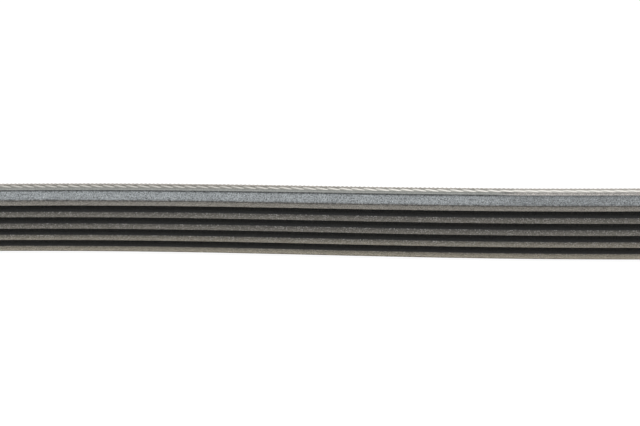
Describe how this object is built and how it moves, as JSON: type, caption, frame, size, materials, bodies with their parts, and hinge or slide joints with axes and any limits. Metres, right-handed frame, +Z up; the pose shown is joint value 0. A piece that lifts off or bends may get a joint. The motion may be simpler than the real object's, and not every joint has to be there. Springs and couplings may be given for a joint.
{
  "type": "ribbed drive belt",
  "caption": "Endless multi-rib V belt of black rubber that carries drive between grooved pulleys, standing on its cut edge.",
  "frame": {"origin": "centre of the loop in plan, on the surface that the lower cut edge stands on", "axes": "+X along the two long strands, +Z up across the belt's width, from one cut edge to the other; the ribs face the inside of the loop"},
  "size_m": [0.4324, 0.1076, 0.0178],
  "materials": {
    "belt_rubber": "matt ground rubber with short fibre flecks"
  },
  "bodies": {
    "root": {"ribbed_belt": "belt_rubber"}
  },
  "joints": []
}
